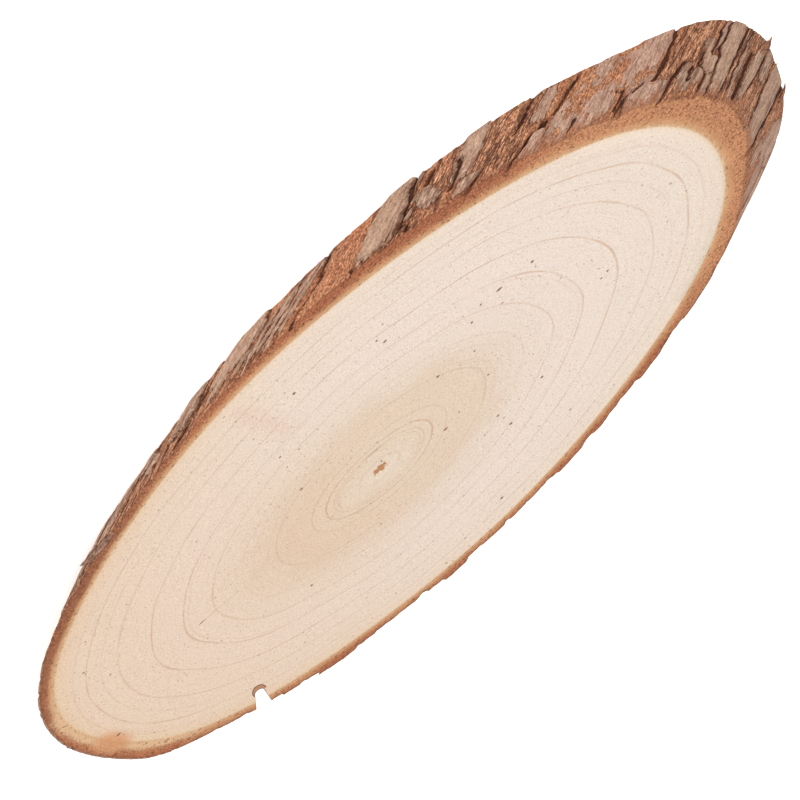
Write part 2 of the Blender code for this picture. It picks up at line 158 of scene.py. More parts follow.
# width, depth, then the places it runs through as round and down
cracks = (
    (1.6, 0.9, (82.0, -0.1), (82.3, 0.5)),
    (1.4, 1.3, (174.8, -0.1), (174.5, 0.3), (173.6, 0.5), (173.2, 1.0)),
    (0.5, 0.7, (181.8, 0.06), (182.0, 0.5), (182.3, 1.0)),
    (0.7, 0.8, (188.6, 0.3), (187.8, 0.5), (187.3, 1.0)),
    (1.2, 1.5, (192.2, 0.08), (192.3, 0.3), (193.0, 0.55), (192.8, 0.75)),
    (0.5, 0.7, (195.0, -0.1), (195.2, 0.3), (195.8, 0.6), (195.2, 1.0)),
    (0.7, 0.8, (197.6, -0.05), (196.5, 0.25), (197.2, 0.5), (197.1, 1.0)),
    (0.5, 0.8, (200.5, 0.03), (201.2, 0.3), (201.8, 0.5), (202.5, 0.6), (202.6, 1.0)),
    (0.5, 0.8, (203.0, -0.02), (203.2, 0.3), (205.8, 0.41), (206.2, 0.6)),
    (0.5, 0.7, (203.6, 0.54), (204.0, 0.7), (204.4, 1.0)),
    (0.6, 0.8, (206.7, 0.21), (207.0, 0.4)),
    (0.8, 1.7, (210.3, -0.1), (210.8, 0.0), (210.4, 0.15), (210.0, 0.35), (209.8, 0.5)),
    (0.8, 1.7, (214.4, 0.34), (214.2, 0.5), (213.8, 0.65), (214.3, 0.85), (214.8, 1.0)),
    (0.7, 1.1, (217.6, -0.05), (218.6, 0.1), (218.5, 0.22)),
    (0.6, 1.2, (219.2, -0.1), (219.3, 0.2), (219.7, 0.36), (220.9, 0.42)),
    (0.5, 0.8, (217.8, 0.25), (216.6, 0.36)),
    (0.6, 0.9, (221.5, -0.1), (222.3, -0.02)),
    (0.5, 0.7, (226.8, 0.08), (227.2, 0.24)),
    (0.7, 1.4, (235.9, -0.05), (235.7, 0.1), (235.0, 0.2), (234.8, 0.36)),
    (1.7, 2.0, (233.0, 0.38), (233.4, 0.45)),
    (0.6, 1.0, (232.4, 0.5), (231.5, 0.7), (230.8, 0.95)),
    (0.6, 0.8, (238.2, 0.5), (237.8, 0.75), (238.1, 1.0)),
    (0.6, 0.8, (242.2, -0.1), (241.5, 0.1), (241.0, 0.22)),
    (0.5, 1.3, (245.8, 0.24), (246.0, 0.38), (246.5, 0.58), (247.0, 0.7)),
    (0.7, 1.5, (250.5, 0.04), (251.6, 0.15), (252.6, 0.22), (253.0, 0.36), (253.8, 0.65), (254.9, 1.0)),
    (0.8, 1.3, (251.6, 0.68), (252.0, 0.88)),
    (0.5, 0.8, (258.0, -0.08), (258.6, 0.05), (259.3, 0.12)),
    (0.5, 0.8, (267.2, -0.1), (267.0, 0.1), (266.4, 0.3), (266.0, 0.5), (266.6, 0.75), (267.5, 1.0)),
    (1.0, 1.7, (286.3, 0.06), (285.6, 0.2), (285.2, 0.32), (284.8, 0.5), (284.2, 0.7), (283.7, 1.0)),
    (0.9, 1.2, (290.0, 0.26), (290.8, 0.48), (291.6, 0.53)),
    (0.8, 1.2, (300.2, 0.1), (300.8, 0.5), (300.4, 1.0)),
    (0.7, 1.1, (307.3, 0.1), (307.6, 0.5), (307.2, 1.0)),
)
# The rest of the stem grows its plates at random
grown = {
    "from": 321.0,
    "to": 521.0,
    "seed": 11,
    "widths": (2.4, 6.0),
    "lengths": (8.0, 22.0),
    "rises": (0.3, 0.8),
    "lean": 6.0,
    "start": (-0.3, 0.0),
    "breaks": (0.02, 0.1),
    "gaps": (0.5, 1.4),
}
# The bite out of the edge, and the dead twig's bark along its inner rim
notch = {
    "x": 74.6,
    "y": 39.2,
    "halfWidth": 1.9,
    "reach": 1.9,
    "sides": 32,
    "run": 12.0,
    "flare": (0.6, 0.2),
    "cutFrom": -9.0,  # heights that the cut goes between
    "cutTo": 25.0,
    "sharpAngle": 50,  # edges that turn by more degrees than this stay crisp
    "crescent": (74.2, 38.1, 2.5, 2.8),  # middle and half sizes
    "twigBark": ("#A8714F", "#CC9B77"),
    "twigEdge": "#6E4230",
}


def smoothStep(value, low, high):
    t = np.clip((value - low) / (high - low), 0.0, 1.0)
    return t * t * (3 - 2 * t)


def stemRadius(theta):
    radius = stem["radius"] - stem["pithOffset"][0] * np.cos(theta) - stem["pithOffset"][1] * np.sin(theta)
    for count, cosine, sine in stem["waves"]:
        radius = radius + cosine * np.cos(count * theta) + sine * np.sin(count * theta)
    return radius


def closedCurve(theta, values):
    step = 360 / len(values)
    place = np.degrees(theta) % 360 / step
    index = np.floor(place).astype(int)
    t = place - index
    a, b, c, d = (np.take(np.array(values), (index + k) % len(values)) for k in (-1, 0, 1, 2))
    rising = (c - a) * t + (2 * a - 5 * b + 4 * c - d) * t**2 + (3 * b - a - 3 * c + d) * t**3
    return b + 0.5 * rising


def smoothNoise(theta, along, layer):
    # a turn round the stem has a whole number of cells, so the noise closes
    size, cells, length, seed = layer
    rows = 64
    table = np.random.default_rng(seed).uniform(-size, size, (cells, rows))
    x, y = theta / (2 * math.pi) * cells, along / length
    column, row = np.floor(x).astype(int), np.floor(y).astype(int)
    right, down = smoothStep(x - column, 0.0, 1.0), smoothStep(y - row, 0.0, 1.0)
    corners = [table[(column + i) % cells, (row + j) % rows] for j in (0, 1) for i in (0, 1)]
    near = corners[0] * (1 - right) + corners[1] * right
    far = corners[2] * (1 - right) + corners[3] * right
    return near * (1 - down) + far * down


def grownPlates():
    draw = np.random.default_rng(grown["seed"])
    found = []
    place = grown["from"]
    while place < grown["to"]:
        width = draw.uniform(*grown["widths"])
        down = draw.uniform(*grown["start"])
        while down < 1.0:
            length = draw.uniform(*grown["lengths"])
            middle = down + 0.5 * length / wallLength
            lean = draw.uniform(-grown["lean"], grown["lean"])
            rise = draw.uniform(*grown["rises"])
            tint = math.sin(7 * place + 3 * middle)
            found.append((place + 0.5 * width / degree, middle, width, length, lean, rise, tint))
            down += length / wallLength + draw.uniform(*grown["breaks"])
        place += (width + draw.uniform(*grown["gaps"])) / degree
    return tuple(found)


allPlates = plates + grownPlates()


def degreesFrom(theta, middle):
    return (np.degrees(theta) - middle + 180) % 360 - 180


def plateInside(theta, down, sway, plate):
    # how far inside the plate's edge, in mm, and below 0 outside
    middle, depth, width, length, lean = plate
    across = degreesFrom(theta, middle) * degree + sway
    away = (down - depth) * wallLength
    slope = math.radians(lean)
    side = across * math.cos(slope) - away * math.sin(slope)
    end = across * math.sin(slope) + away * math.cos(slope)
    power = bark["corners"]
    reach = ((2 * abs(side) / width) ** power + (2 * abs(end) / length) ** power) ** (1 / power)
    return (1 - reach) * 0.5 * width


def crackNearest(theta, down, sway, places):
    # how far from the crack's middle line, in mm
    nearest = np.full(theta.shape, stem["radius"])
    for (fromDegrees, fromDown), (toDegrees, toDown) in zip(places, places[1:]):
        across = degreesFrom(theta, fromDegrees) * degree + sway
        away = (down - fromDown) * wallLength
        runAcross = (toDegrees - fromDegrees) * degree
        runAway = (toDown - fromDown) * wallLength
        t = np.clip((across * runAcross + away * runAway) / (runAcross**2 + runAway**2), 0, 1)
        nearest = np.minimum(nearest, np.hypot(across - t * runAcross, away - t * runAway))
    return nearest


def barkSkin(theta, down):
    # the skin's height over its ground, how far inside a plate and a crack it is, and the plate's tint
    along = stem["radius"] * np.cos(theta) * slant + down * wallLength
    sway = sum(smoothNoise(theta, along, layer) for layer in bark["sway"])
    soft = bark["softness"]
    height, tint = np.zeros(theta.shape), np.zeros(theta.shape)
    far = bark["farthest"]
    plateEdge, crackEdge = np.full(theta.shape, -far), np.full(theta.shape, -far)
    for *plate, rise, ownTint in allPlates:
        middle, width, length = plate[0], plate[2], plate[3]
        reach = 0.5 * width + 0.2 * length + bark["plateMargin"]
        near = abs(degreesFrom(theta, middle)) * degree < reach
        inside = plateInside(theta[near], down[near], sway[near], plate)
        tint[near] = np.where(inside > plateEdge[near], ownTint, tint[near])
        height[near] = np.maximum(height[near], rise * smoothStep(inside, -0.5 * soft, soft))
        plateEdge[near] = np.maximum(plateEdge[near], inside)
    cut = np.zeros(theta.shape)
    for width, deep, *places in cracks:
        middle = sum(place[0] for place in places) / len(places)
        near = abs(degreesFrom(theta, middle)) < bark["crackReach"]
        nearest = crackNearest(theta[near], down[near], sway[near], places)
        cut[near] += deep * (1 - smoothStep(nearest, 0.2 * width, 0.5 * width + soft))
        crackEdge[near] = np.maximum(crackEdge[near], 0.5 * width - nearest)
    fine = sum(smoothNoise(theta, along, layer) for layer in bark["grain"])
    fine = fine + scalyZone(theta) * sum(smoothNoise(theta, along, layer) for layer in bark["scales"])
    bare = 1 - smoothStep(plateEdge, -0.2, 0.4)
    strings = sum(smoothNoise(theta, along, layer) for layer in bark["fibres"])
    groove = barkGrooves(theta, along, sway) * (0.25 + 0.75 * bare * (0.4 + 0.6 * fibrousZone(theta)))
    fine = fine + bare * (0.3 + fibrousZone(theta)) * strings - bark["grooveDepth"] * groove
    ends = np.cos(theta) ** 2
    worn = 1 - bark["edgeWear"] * smoothStep(np.cos(theta) * (1 - 2 * down), bark["sharpFrom"], 1.0)
    height = height - cut + fine * (1 - bark["endSmoothness"] * ends)
    height = height * (1 - bark["endFlatness"] * ends) * worn
    return {"height": np.maximum(height, bark["deepest"]), "plateEdge": np.clip(plateEdge, -far, far),
            "crackEdge": np.clip(crackEdge, -far, far), "tint": tint, "groove": groove}


def barkGrooves(theta, along, sway):
    turned = theta + math.radians(1) * bark["grooveSway"] * sway / degree
    found = np.zeros(theta.shape)
    for layer, near in bark["grooves"]:
        found = np.maximum(found, 1 - abs(smoothNoise(turned, along, layer)) / near)
    return np.clip(found, 0, 1) * smoothStep(smoothNoise(theta, along, bark["grooveFades"]), -0.4, 0.3)


def scalyZone(theta):
    # the pinkish grey stretch, where the skin peels in small scales
    turn = np.degrees(theta) % 360
    start, full, fading, end = bark["scaly"]
    return smoothStep(turn, start, full) * (1 - smoothStep(turn, fading, end))


def fibrousZone(theta):
    # the stretches where the outer bark has come off in strings and shows brown
    turn = np.degrees(theta) % 360
    found = np.zeros(theta.shape)
    for low, high, share in bark["fibrous"]:
        inside = smoothStep(turn, low - 1, low) * (1 - smoothStep(turn, high, high + 1))
        found = np.maximum(found, share * inside)
    return found


def groundThickness(theta, down):
    top, bottom = closedCurve(theta, bark["groundTop"]), closedCurve(theta, bark["groundBottom"])
    return top * (1 - down) + bottom * down


def onSlice(theta, radius, down):
    x = radius * np.cos(theta) * stretch - down * stem["thickness"] * slant
    y = radius * np.sin(theta)
    z = (1 - down) * stem["thickness"]
    return np.stack([x, y, z], axis=-1)


def turns(count):
    return np.arange(count) * (2 * math.pi / count)


# The pith's upper end in the row frame: the disc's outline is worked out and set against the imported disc
rim = np.concatenate([onSlice(turns(240), stemRadius(turns(240)), np.full(240, down)) for down in (0.0, 1.0)])
shift = 0.5 * (np.array(woodLow + woodHigh) / mm - rim.min(axis=0) - rim.max(axis=0))
pith = Vector((shift[0], shift[1], stem["thickness"])) * mm
print("pith at", tuple(round(value / mm, 2) for value in pith), "mm")


def toStem(points):
    # the way back: where points of a mesh, in metres, are in the stem
    local = points / mm - np.array([shift[0], shift[1], 0.0])
    down = 1 - local[:, 2] / stem["thickness"]
    across = (local[:, 0] + down * stem["thickness"] * slant) / stretch
    return np.arctan2(local[:, 1], across) % (2 * math.pi), np.hypot(across, local[:, 1]), down


def placeObject(name, data):
    thing = bpy.data.objects.new(name, data)
    bpy.context.collection.objects.link(thing)
    return thing


def addPiece(name, rows, loops):
    # each row of points is a loop round the stem; loops join two rows by quads
    rows = np.stack(rows)
    count = rows.shape[1]
    mesh = bpy.data.meshes.new(name)
    points = (rows.reshape(-1, 3) + np.array([shift[0], shift[1], 0.0])) * mm
    around = np.arange(count)
    after = (around + 1) % count
    faces = [np.stack([a * count + around, a * count + after, b * count + after, b * count + around], 1)
             for a, b in loops]
    mesh.from_pydata(points.tolist(), [], np.concatenate(faces).tolist())
    mesh.validate()
    mesh.shade_smooth()
    return placeObject(name, mesh)


def cutNotch(piece):
    # a half oval end, with two sides that lean apart out past the bark
    angles = [math.pi + math.pi * k / notch["sides"] for k in range(notch["sides"] + 1)]
    outline = [(notch["x"] + notch["halfWidth"] * math.cos(a), notch["y"] + notch["reach"] * math.sin(a))
               for a in angles]
    right, left = notch["flare"]
    end = notch["y"] + notch["run"]
    outline.append((notch["x"] + notch["halfWidth"] + right * notch["run"], end))
    outline.append((notch["x"] - notch["halfWidth"] + left * notch["run"], end))
    count = len(outline)
    mesh = bpy.data.meshes.new("notchCutter")
    points = [((x + shift[0]) * mm, (y + shift[1]) * mm, z * mm)
              for z in (notch["cutFrom"], notch["cutTo"]) for x, y in outline]
    sides = [(k, (k + 1) % count, (k + 1) % count + count, k + count) for k in range(count)]
    mesh.from_pydata(points, [], sides + [tuple(range(count, 2 * count)), tuple(reversed(range(count)))])
    cutter = placeObject("notchCutter", mesh)
    cut = piece.modifiers.new("notch", "BOOLEAN")
    cut.operation = "DIFFERENCE"
    cut.object = cutter
    bpy.context.view_layer.update()
    done = bpy.data.meshes.new_from_object(piece.evaluated_get(bpy.context.evaluated_depsgraph_get()))
    piece.modifiers.clear()
    piece.data = done
    bpy.data.objects.remove(cutter)
    done.shade_smooth()
    done.set_sharp_from_angle(angle=math.radians(notch["sharpAngle"]))


def pointsOf(mesh):
    points = np.empty(len(mesh.vertices) * 3)
    mesh.vertices.foreach_get("co", points)
    return points.reshape(-1, 3)


def keepOnMesh(mesh, name, values):
    attribute = mesh.attributes.new(name, "FLOAT", "POINT")
    attribute.data.foreach_set("value", np.ascontiguousarray(values, dtype=np.float32))


# The disc
disc = {
    "columns": 720,
    "faceRings": 26,
    "crowding": 1.3,  # over 1, the rings of points crowd towards the pith
    "pithWidth": 1.6,
    "pithDepth": 0.5,
}


def makeDisc():
    theta = turns(disc["columns"])
    shares = np.linspace(1.0, 0.0, disc["faceRings"] + 1)[:-1] ** disc["crowding"]
    rows = []
    for down in (0.0, 1.0):
        for share in shares:
            points = onSlice(theta, share * stemRadius(theta), np.full(theta.shape, down))
            if down == 0.0:
                radius = share * stemRadius(theta)
                points[:, 2] -= disc["pithDepth"] * (1 - smoothStep(radius, 0.0, disc["pithWidth"]))
            rows.append(points)
    count = len(shares)
    loops = [(k, k + 1) for k in range(count - 1)]
    loops += [(count + k + 1, count + k) for k in range(count - 1)]
    loops.append((count, 0))
    piece = addPiece("wood_disc", rows, loops)
    closeMiddles(piece.data, count, disc["columns"])
    cutNotch(piece)
    theta, radius, down = toStem(pointsOf(piece.data))
    keepOnMesh(piece.data, "rimShare", radius / stemRadius(theta))
    return piece


def closeMiddles(mesh, count, columns):
    # the innermost loop of each face is closed by one many-sided face
    work = bmesh.new()
    work.from_mesh(mesh)
    work.verts.ensure_lookup_table()
    upper = [work.verts[(count - 1) * columns + k] for k in range(columns)]
    lower = [work.verts[(2 * count - 1) * columns + k] for k in range(columns)]
    work.faces.new(upper)
    work.faces.new(list(reversed(lower)))
    work.to_mesh(mesh)
    work.free()


# The ring of bark
ringOfBark = {
    "edge": 0.024,  # the rough side ends this far down, and a worn edge leads on to the sawn band
    "bandShares": (0.985, 0.9, 0.75, 0.55, 0.35, 0.18, 0.07, 0.0),  # across the band, from the outside in
    "bandDip": 0.12,  # the saw tears the soft bark a little
    "tear": (1.0, 900, 0.5, 21),  # its noise layer
    "edgeDip": 0.1,
    # a point is in a hollow where the skin beside it, this many mm round and along, is this much higher; the
    # bark's colour is darkened there as painted shade
    "besideSteps": ((0.9, 0.0), (-0.9, 0.0), (0.0, 1.2), (0.0, -1.2), (1.8, 0.0), (-1.8, 0.0)),
    "hollowDepth": 0.6,
}


def makeBark():
    theta = turns(bark["columns"])
    wood = stemRadius(theta)
    rows = []
    for down in np.linspace(1.0, ringOfBark["edge"], bark["rows"]):
        level = np.full(theta.shape, down)
        skin = barkSkin(theta, level)["height"]
        radius = wood + bark["seam"] + groundThickness(theta, level) + skin
        rows.append(onSlice(theta, radius, level))
    for share in ringOfBark["bandShares"]:
        between = wood + share * (radius - wood)
        points = onSlice(theta, between, np.zeros(theta.shape))
        rough = 0.5 + 0.5 * smoothNoise(theta, between, ringOfBark["tear"])
        points[:, 2] -= min(share * 4, 1) * ringOfBark["bandDip"] * rough + ringOfBark["edgeDip"] * share**12
        rows.append(points)
    rows.append(onSlice(theta, wood, np.ones(theta.shape)))
    loops = [(k, k + 1) for k in range(len(rows) - 1)] + [(len(rows) - 1, 0)]
    piece = addPiece("bark_ring", rows, loops)
    cutNotch(piece)
    markBark(piece.data)
    return piece


def markBark(mesh):
    # what the bark's colours read at each point of the mesh
    theta, radius, down = toStem(pointsOf(mesh))
    down = np.clip(down, 0, 1)
    skin = barkSkin(theta, down)
    steps = ringOfBark["besideSteps"]
    beside = sum(barkSkin((theta + math.radians(a / degree)) % (2 * math.pi), down + b / wallLength)["height"]
                 for a, b in steps) / len(steps)
    wood = stemRadius(theta)
    outer = wood + bark["seam"] + groundThickness(theta, down) + skin["height"]
    for name in ("plateEdge", "crackEdge", "tint", "groove"):
        keepOnMesh(mesh, name, skin[name])
    # the depth below the skin beside each point, which the bark material paints as shade in the hollows
    keepOnMesh(mesh, "hollowShade", np.clip((beside - skin["height"]) / ringOfBark["hollowDepth"], -1, 1))
    keepOnMesh(mesh, "under", outer - radius)  # mm under the skin
    keepOnMesh(mesh, "fromWood", radius - wood)
    keepOnMesh(mesh, "down", down)
    keepOnMesh(mesh, "fibrous", fibrousZone(theta))
    keepOnMesh(mesh, "scaly", scalyZone(theta))


# Loose flakes of bark and splinters that stand out from the side and the rim
bare, plated = -bark["farthest"], 0.5  # how far inside a plate a flake's skin is
flakes = (
    # half sizes round the stem, along it and outwards; skin; then the places that the flake runs through:
    # round, down, mm over the ground, share of its full size
    ((2.0, 0.0, 0.5), bare, (189.6, 0.79, -0.5, 1.0), (189.5, 0.86, 0.5, 1.0), (189.2, 0.91, 0.8, 0.75),
     (189.2, 0.93, 1.1, 0.3), (189.6, 0.96, 1.4, 0.12)),
    ((0.5, 0.0, 0.35), bare, (182.4, 0.88, -0.4, 1.0), (182.1, 0.90, 0.4, 0.8), (181.8, 0.91, 1.0, 0.2)),
    ((1.1, 0.0, 0.4), bare, (170.6, 0.82, -0.5, 0.9), (171.6, 0.86, 0.5, 1.0), (172.6, 0.89, 0.9, 0.8),
     (173.5, 0.91, 1.05, 0.45), (174.4, 0.93, 1.1, 0.12)),
    ((0.0, 0.5, 1.5), plated, (299.6, 0.012, -0.3, 0.4), (300.4, 0.006, 0.0, 0.8), (301.5, 0.002, 0.2, 0.9),
     (302.7, 0.002, 0.6, 0.9), (303.8, 0.006, 1.2, 0.8), (304.6, 0.012, 1.9, 0.5)),
    ((1.0, 0.0, 0.4), bare, (358.9, 0.03, -0.5, 1.0), (358.8, 0.03, 0.1, 0.9), (358.7, 0.04, 0.4, 0.6)),
)


flakeShape = {
    "sides": 10,
    "sharpAngle": 60,
    # a blade's two edges are as dark as a crack: how far inside one its middle is, and what its edges add
    "middleEdge": -0.75,
    "edgeRise": 0.9,
    # what the bark's colours read on a flake, with a fixed hollow reading that paints a little shade over all
    # of it
    "marks": {"tint": -0.2, "groove": 0.0, "hollowShade": 0.7, "under": 0.0, "fromWood": 5.0, "down": 0.5,
              "fibrous": 1.0, "scaly": 0.0},
}


def bladePoints(halfSizes, places):
    # a loop of points for each place that a blade runs through
    around, along, outwards = halfSizes
    turn = turns(flakeShape["sides"])
    points = []
    for degrees, down, over, share in places:
        level = down + share * along * np.sin(turn) / wallLength
        theta = np.radians(degrees + share * around * np.cos(turn) / degree)
        out = share * outwards * (np.sin(turn) if around else np.cos(turn))
        radius = stemRadius(theta) + bark["seam"] + groundThickness(theta, level) + over + out
        points += (onSlice(theta, radius, level) + np.array([shift[0], shift[1], 0.0])).tolist()
    return points


def makeFlakes():
    sides = flakeShape["sides"]
    points, faces, skins = [], [], []
    for halfSizes, skin, *places in flakes:
        first = len(points)
        points += bladePoints(halfSizes, places)
        skins += [skin] * (len(points) - first)
        last = len(points) - sides
        for start in range(first, last, sides):
            faces += [(start + k, start + (k + 1) % sides, start + sides + (k + 1) % sides, start + sides + k)
                      for k in range(sides)]
        faces += [tuple(range(first, first + sides))[::-1], tuple(range(last, last + sides))]
    mesh = bpy.data.meshes.new("bark_flakes")
    mesh.from_pydata((np.array(points) * mm).tolist(), [], faces)
    mesh.validate()
    work = bmesh.new()
    work.from_mesh(mesh)
    bmesh.ops.recalc_face_normals(work, faces=work.faces)
    work.to_mesh(mesh)
    work.free()
    mesh.shade_smooth()
    mesh.set_sharp_from_angle(angle=math.radians(flakeShape["sharpAngle"]))
    keepOnMesh(mesh, "plateEdge", skins)
    edges = flakeShape["edgeRise"] * np.cos(turns(sides)) ** 2 + flakeShape["middleEdge"]
    keepOnMesh(mesh, "crackEdge", np.tile(edges, len(points) // sides))
    for name, value in flakeShape["marks"].items():
        keepOnMesh(mesh, name, np.full(len(points), value))
    return placeObject("bark_flakes", mesh)


# Materials

smooth = {"interpolation_type": "SMOOTHSTEP"}
inColour = {"data_type": "RGBA"}


def hexColour(text):
    values = [int(text[k:k + 2], 16) / 255 for k in (1, 3, 5)]
    linear = [v / 12.92 if v <= 0.04045 else ((v + 0.055) / 1.055) ** 2.4 for v in values]
    return (*linear, 1.0)


def addNode(tree, kind, inputs=(), **settings):
    # inputs go in order to the sockets that are in use, or by name: a number, a vector, a hex colour, or a
    # node or socket to link from; None leaves a socket as it is
    node = tree.nodes.new("ShaderNode" + kind)
    for name, value in settings.items():
        setattr(node, name, value)
    sockets = [socket for socket in node.inputs if socket.enabled]
    pairs = inputs.items() if isinstance(inputs, dict) else enumerate(inputs)
    for key, value in pairs:
        socket = sockets[key] if isinstance(key, int) else node.inputs[key]
        if isinstance(value, bpy.types.Node):
            value = [one for one in value.outputs if one.enabled][0]
        if isinstance(value, bpy.types.NodeSocket):
            tree.links.new(value, socket)
        elif isinstance(value, str):
            socket.default_value = hexColour(value)
        elif value is not None:
            socket.default_value = value
    return node


def newMaterial(name):
    material = bpy.data.materials.new(name)
    material.use_nodes = True
    material.node_tree.nodes.clear()
    return material, material.node_tree


def finishMaterial(tree, inputs):
    shader = addNode(tree, "BsdfPrincipled", inputs)
    addNode(tree, "OutputMaterial", {"Surface": shader})


def rampColours(ramp, stops):
    elements = ramp.color_ramp.elements
    while len(elements) > 1:
        elements.remove(elements[-1])
    for k, (place, colour) in enumerate(stops):
        element = elements[0] if k == 0 else elements.new(place)
        element.position = place
        element.color = hexColour(colour)
    return ramp


def stemPoint(tree):
    # a point square to the grain in mm from the pith, with its third number along the grain
    turn = Euler((0.0, stem["cutAngle"] - math.pi / 2, 0.0))
    moved = -(turn.to_matrix() @ (pith / mm))
    place = addNode(tree, "TexCoord").outputs["Object"]
    return addNode(tree, "Mapping", (place, moved, turn, (1 / mm, 1 / mm, 1 / mm)))


def grain(tree, place, size, along, detail=2.0, rough=0.5):
    # uneven grain from 0 to 1: its size square to the stem in mm, and how many times longer it is along it
    sizes = (1 / size, 1 / size, 1 / (size * along))
    drawn = addNode(tree, "VectorMath", (place, sizes), operation="MULTIPLY")
    return addNode(tree, "TexNoise", {"Vector": drawn, "Scale": 1.0, "Detail": detail, "Roughness": rough})


def lineAt(tree, value, at, width, strength, start=0.0):
    # strongest where a value passes a place, and gone this far from it
    away = addNode(tree, "Math", (value, at), operation="SUBTRACT")
    away = addNode(tree, "Math", (away,), operation="ABSOLUTE")
    return addNode(tree, "MapRange", (away, start, width, strength, 0.0), **smooth)


def ringPoint(degrees, share):
    # a place square to the grain, in mm from the pith
    theta = math.radians(degrees)
    cosine, sine = math.cos(theta), math.sin(theta)
    x, y = stem["pithOffset"]
    radius = share * stem["radius"] - share**2 * (x * cosine + y * sine)
    return Vector((radius * cosine, radius * sine, 0.0))


# Bare sawn sapwood and heart of a pale, even broadleaf wood, planed and left without a finish: nearly
# matt, cream, with thin tan late-wood lines, a slightly darker heart and small brown flecks
wood = {
    # colour across the stem by ring share
    "colours": ((0.0, "#ECDCC9"), (0.05, "#EBDAC7"), (0.12, "#E9D5C0"), (0.27, "#E8D1BA"), (0.35, "#E9D4C0"),
                (0.43, "#EDDBCA"), (0.6, "#F0DFD1"), (0.9, "#EFDECE"), (0.985, "#EFDCCA"), (0.995, "#EED9C2"),
                (1.0, "#E2C4A2")),
    # painted shade: towards the +X end the face is made darker and a little warmer
    "farEndShade": "#FBF1E7",  # the colour is multiplied by this towards the +X end
    "yellow": "#E3C08F",  # the youngest wood at that end
    # late-wood lines: ring share, width in mm, strength
    "rings": (
        (0.06, 0.4, 0.25), (0.125, 0.22, 0.3), (0.137, 0.25, 0.4), (0.163, 0.3, 0.7), (0.208, 0.28, 0.4),
        (0.32, 0.3, 0.35), (0.345, 0.3, 0.15), (0.39, 0.3, 0.12), (0.425, 0.3, 0.2), (0.515, 0.28, 0.45),
        (0.592, 0.22, 0.25), (0.607, 0.28, 0.55), (0.707, 0.28, 0.6), (0.808, 0.28, 0.45),
        (0.86, 0.28, 0.2), (0.907, 0.3, 0.5), (0.95, 0.28, 0.2),
    ),
    "lateWood": "#CDA482",
    # where rings stray from round: degrees, ring share, how far inwards, over what reach, in mm
    "strays": ((85, 0.62, -1.4, 18.0), (148, 0.65, 1.3, 18.0)),
    # flecks scattered by chance: spacing, radius, share of the spacings that hold one, strength
    "scatter": ((1.9, 0.16, 0.75, 0.5), (5.0, 0.22, 0.4, 0.6), (12.0, 0.32, 0.4, 0.8)),
    "fleckDraw": 1.7,  # how much longer than wide a scattered fleck is
    # flecks that stand out: degrees, ring share, half length, half width
    "flecks": (
        (126, 0.52, 0.7, 0.4), (144, 0.527, 0.6, 0.4), (219, 0.58, 1.2, 0.4), (223, 0.547, 0.5, 0.3),
        (213, 0.645, 0.7, 0.4), (253, 0.65, 0.8, 0.35), (255, 0.683, 0.5, 0.3), (272, 0.773, 0.6, 0.45),
        (102, 0.865, 0.7, 0.4), (148, 0.207, 0.9, 0.35), (45, 0.45, 0.5, 0.35), (222, 0.315, 0.7, 0.35),
        (222, 0.488, 0.5, 0.35), (175, 0.657, 0.5, 0.3), (176, 0.676, 0.5, 0.35), (207, 0.373, 0.4, 0.3),
        (176, 0.328, 0.4, 0.3), (248, 0.039, 0.4, 0.3), (355, 0.565, 1.6, 0.2), (10, 0.957, 0.9, 0.35),
        (50, 0.97, 0.6, 0.35),
    ),
    "fleck": "#7A4830",
    "pithRadius": 1.3,
    "pith": "#BF895F",
    "stain": "#DCA175",
    "stainSpot": {"degrees": 10.5, "share": 0.99, "halfSizes": (3.1, 8.4)},
    "streak": "#E6C6B2",
    # rays: degrees, from and to as ring shares, half width in mm, strength
    "crackRay": (355, (0.43, 0.58), 0.15, 0.4),
    "streakRay": (278.5, (0.6, 0.97), 3.0, 0.4),
    # a check along a ring: its ring share, width as one and strength, and where it is
    "checkLine": (0.131, 0.006, 0.75),
    "checkSpot": {"degrees": 255, "share": 0.133, "halfSizes": (4.2, 0.9)},
    "fineGap": 0.42,  # about this many mm from one of the finest lines to the next
    # uneven grain: size square to the stem in mm, how many times longer it is along it, detail, roughness
    "blotch": (9.0, 4.0, 3.0, 0.6),
    "wander": (18.0, 3.0, 0.0, 0.5),
    "strong": (8.0, 4.0, 3.0, 0.5),
    "crowd": (14.0, 2.0, 2.0, 0.5),
    "ragged": (0.9, 1.0, 2.0, 0.5),
    "ends": (0.33, 2.0, 1.0, 0.5),
    "roughness": 0.62,
}


def ringShare(tree, square):
    # 0 at the pith and 1 at the rim: each ring is a circle, whose middle moves off the pith as it grows
    middle = (-stem["pithOffset"][0], -stem["pithOffset"][1], 0.0)
    length = addNode(tree, "VectorMath", (square,), operation="LENGTH")
    share = addNode(tree, "Math", (length, stem["radius"]), operation="DIVIDE")
    for step in range(3):
        grownShare = addNode(tree, "Math", (share, 2.0), operation="POWER")
        offset = addNode(tree, "VectorMath", (middle, grownShare), operation="SCALE")
        length = addNode(tree, "VectorMath", (square, offset), operation="DISTANCE")
        share = addNode(tree, "Math", (length, stem["radius"]), operation="DIVIDE")
    return share


def strayRings(tree, square):
    # pushes the place that the rings are read at, so that they bend as the real ones do
    for degrees, share, inwards, reach in wood["strays"]:
        middle = ringPoint(degrees, share)
        away = addNode(tree, "VectorMath", (square, middle), operation="DISTANCE")
        push = addNode(tree, "MapRange", (away, 0.0, reach, inwards, 0.0), **smooth)
        step = addNode(tree, "VectorMath", (middle.normalized(), push), operation="SCALE")
        square = addNode(tree, "VectorMath", (square, step), operation="ADD")
    return square


def ringLines(tree, ringPlace):
    lines = None
    for ringAt, width, strength in wood["rings"]:
        line = lineAt(tree, ringPlace, ringAt, width / stem["radius"], strength)
        lines = line if lines is None else addNode(tree, "Math", (lines, line), operation="MAXIMUM")
    return lines


